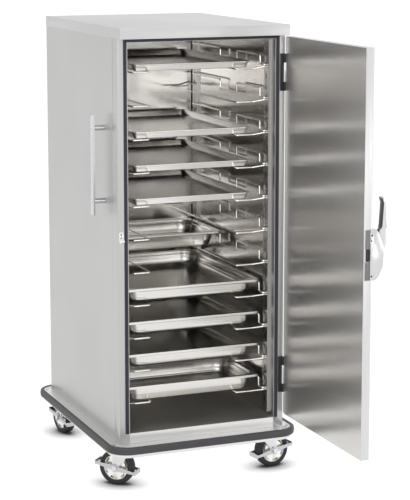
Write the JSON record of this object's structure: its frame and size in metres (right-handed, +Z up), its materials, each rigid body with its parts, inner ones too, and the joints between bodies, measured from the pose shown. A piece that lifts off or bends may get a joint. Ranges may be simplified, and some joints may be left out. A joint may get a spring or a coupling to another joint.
{
  "type": "heated holding cabinet",
  "caption": "Tall mobile heated holding cabinet with an insulated shell, a side-hinged door with a pull latch, wire slides with shallow and deep pans, a bumper and braked swivel casters.",
  "frame": {"origin": "middle of the part's box at rest, with the door open at a right angle, on the floor under the wheels", "axes": "+Z up; the cabinet's front and door opening face -Y; +X to the hinge side, the right seen from the front"},
  "size_m": [0.7757, 1.5165, 1.656],
  "materials": {
    "shell_steel": "satin stainless sheet",
    "liner_steel": "bright stainless sheet",
    "base_steel": "satin stainless plate",
    "bumper_rubber": "moulded, matt",
    "gasket_rubber": "soft, matt",
    "blanket": "mineral wool",
    "rack_steel": "satin",
    "wire": "bright plated wire",
    "pan_steel": "satin, drawn",
    "black_hinge": "black, satin",
    "bright_metal": "satin chrome",
    "heater_metal": "dark oxide",
    "black_plastic": "moulded",
    "zinc": "bright zinc plate",
    "tyre_rubber": "moulded, matt"
  },
  "bodies": {
    "cabinet": {"base_deck": "base_steel", "base_channels": "base_steel", "bumper": "bumper_rubber", "side_panel_left": "shell_steel", "side_panel_right": "shell_steel", "back_panel": "shell_steel", "top_cap": "shell_steel", "bottom_pan": "shell_steel", "liner_left": "liner_steel", "liner_right": "liner_steel", "liner_back": "liner_steel", "liner_ceiling": "liner_steel", "liner_floor": "liner_steel", "insulation": "blanket", "face_frame": "shell_steel", "door_gasket": "gasket_rubber", "strike": "bright_metal", "side_handles": "shell_steel", "rack_uprights": "rack_steel", "frame_hinges": "black_hinge", "heater_cover": "liner_steel", "heater_element": "heater_metal", "control_panel": "shell_steel", "thermometer": "shell_steel", "caster_plates": "zinc", "slides_left": "wire", "slides_right": "wire"},
    "door": {"door_outer": "shell_steel", "door_inner": "liner_steel", "door_core": "blanket", "door_hinges": "bright_metal", "latch_body": "bright_metal"},
    "lever": {"latch_lever": "bright_metal"},
    "knob": {"thermostat_knob": "black_plastic"},
    "switch": {"power_switch": "black_plastic"},
    "swivel_front_left": {"fork_front_left": "zinc"},
    "wheel_front_left": {"hub_front_left": "zinc", "tyre_front_left": "tyre_rubber"},
    "foot_brake_front_left": {"brake_front_left": "zinc"},
    "swivel_front_right": {"fork_front_right": "zinc"},
    "wheel_front_right": {"hub_front_right": "zinc", "tyre_front_right": "tyre_rubber"},
    "foot_brake_front_right": {"brake_front_right": "zinc"},
    "swivel_rear_left": {"fork_rear_left": "zinc"},
    "wheel_rear_left": {"hub_rear_left": "zinc", "tyre_rear_left": "tyre_rubber"},
    "foot_brake_rear_left": {"brake_rear_left": "zinc"},
    "swivel_rear_right": {"fork_rear_right": "zinc"},
    "wheel_rear_right": {"hub_rear_right": "zinc", "tyre_rear_right": "tyre_rubber"},
    "foot_brake_rear_right": {"brake_rear_right": "zinc"},
    "tray_sheet_pan_1": {"sheet_pan_1": "pan_steel"},
    "tray_sheet_pan_3": {"sheet_pan_3": "pan_steel"},
    "tray_sheet_pan_4": {"sheet_pan_4": "pan_steel"},
    "tray_sheet_pan_5": {"sheet_pan_5": "pan_steel"},
    "tray_single_pan_7": {"single_pan_7": "pan_steel"},
    "tray_deep_pan_8": {"deep_pan_8": "pan_steel"},
    "tray_deep_pan_9": {"deep_pan_9": "pan_steel"},
    "tray_deep_pan_10": {"deep_pan_10": "pan_steel"},
    "tray_single_pan_11": {"single_pan_11": "pan_steel"}
  },
  "joints": [
    {"name": "door_hinge", "type": "hinge", "parent": "cabinet", "child": "door", "pos_m": [0.299, -0.1295, 0.92], "axis": [0, 0, 1], "range_deg": [-90, 90]},
    {"name": "latch_pull", "type": "hinge", "parent": "door", "child": "lever", "pos_m": [0.3625, -0.7445, 0.931], "axis": [0, 1, 0], "range_deg": [0, 25], "stiffness_Nm_per_rad": 1.5, "springref_deg": -28.65},
    {"name": "thermostat_turn", "type": "hinge", "parent": "cabinet", "child": "knob", "pos_m": [-0.062, 0.6945, 0.543], "axis": [0, -1, 0], "range_deg": [0, 270]},
    {"name": "switch_rock", "type": "hinge", "parent": "cabinet", "child": "switch", "pos_m": [-0.062, 0.6885, 0.465], "axis": [1, 0, 0], "range_deg": [-8, 8]},
    {"name": "swivel_front_left", "type": "hinge", "parent": "cabinet", "child": "swivel_front_left", "pos_m": [-0.289, -0.056, 0.145], "axis": [0, 0, 1], "continuous": true},
    {"name": "roll_front_left", "type": "hinge", "parent": "swivel_front_left", "child": "wheel_front_left", "pos_m": [-0.31427, -0.03325, 0.065], "axis": [0.6691, 0.7431, 0], "continuous": true},
    {"name": "brake_front_left", "type": "hinge", "parent": "swivel_front_left", "child": "foot_brake_front_left", "pos_m": [-0.31427, -0.03325, 0.065], "axis": [-0.6691, -0.7431, 0], "range_deg": [0, 18]},
    {"name": "swivel_front_right", "type": "hinge", "parent": "cabinet", "child": "swivel_front_right", "pos_m": [0.255, -0.056, 0.145], "axis": [0, 0, 1], "continuous": true},
    {"name": "roll_front_right", "type": "hinge", "parent": "swivel_front_right", "child": "wheel_front_right", "pos_m": [0.28867, -0.05127, 0.065], "axis": [0.1392, -0.9903, 0], "continuous": true},
    {"name": "brake_front_right", "type": "hinge", "parent": "swivel_front_right", "child": "foot_brake_front_right", "pos_m": [0.28867, -0.05127, 0.065], "axis": [-0.1392, 0.9903, 0], "range_deg": [0, 18]},
    {"name": "swivel_rear_left", "type": "hinge", "parent": "cabinet", "child": "swivel_rear_left", "pos_m": [-0.289, 0.6265, 0.145], "axis": [0, 0, 1], "continuous": true},
    {"name": "roll_rear_left", "type": "hinge", "parent": "swivel_rear_left", "child": "wheel_rear_left", "pos_m": [-0.2949, 0.65998, 0.065], "axis": [0.9848, 0.1736, 0], "continuous": true},
    {"name": "brake_rear_left", "type": "hinge", "parent": "swivel_rear_left", "child": "foot_brake_rear_left", "pos_m": [-0.2949, 0.65998, 0.065], "axis": [-0.9848, -0.1736, 0], "range_deg": [0, 18]},
    {"name": "swivel_rear_right", "type": "hinge", "parent": "cabinet", "child": "swivel_rear_right", "pos_m": [0.255, 0.6265, 0.145], "axis": [0, 0, 1], "continuous": true},
    {"name": "roll_rear_right", "type": "hinge", "parent": "swivel_rear_right", "child": "wheel_rear_right", "pos_m": [0.2609, 0.65998, 0.065], "axis": [0.9848, -0.1736, 0], "continuous": true},
    {"name": "brake_rear_right", "type": "hinge", "parent": "swivel_rear_right", "child": "foot_brake_rear_right", "pos_m": [0.2609, 0.65998, 0.065], "axis": [-0.9848, 0.1736, 0], "range_deg": [0, 18]},
    {"name": "slide_sheet_pan_1", "type": "slide", "parent": "cabinet", "child": "tray_sheet_pan_1", "axis": [0, -1, 0], "range_m": [0, 0.45]},
    {"name": "slide_sheet_pan_3", "type": "slide", "parent": "cabinet", "child": "tray_sheet_pan_3", "axis": [0, -1, 0], "range_m": [0, 0.45]},
    {"name": "slide_sheet_pan_4", "type": "slide", "parent": "cabinet", "child": "tray_sheet_pan_4", "axis": [0, -1, 0], "range_m": [0, 0.45]},
    {"name": "slide_sheet_pan_5", "type": "slide", "parent": "cabinet", "child": "tray_sheet_pan_5", "axis": [0, -1, 0], "range_m": [0, 0.45]},
    {"name": "slide_single_pan_7", "type": "slide", "parent": "cabinet", "child": "tray_single_pan_7", "axis": [0, -1, 0], "range_m": [0, 0.6]},
    {"name": "slide_deep_pan_8", "type": "slide", "parent": "cabinet", "child": "tray_deep_pan_8", "axis": [0, -1, 0], "range_m": [0, 0.45]},
    {"name": "slide_deep_pan_9", "type": "slide", "parent": "cabinet", "child": "tray_deep_pan_9", "axis": [0, -1, 0], "range_m": [0, 0.45]},
    {"name": "slide_deep_pan_10", "type": "slide", "parent": "cabinet", "child": "tray_deep_pan_10", "axis": [0, -1, 0], "range_m": [0, 0.45]},
    {"name": "slide_single_pan_11", "type": "slide", "parent": "cabinet", "child": "tray_single_pan_11", "axis": [0, -1, 0], "range_m": [0, 0.28]}
  ]
}
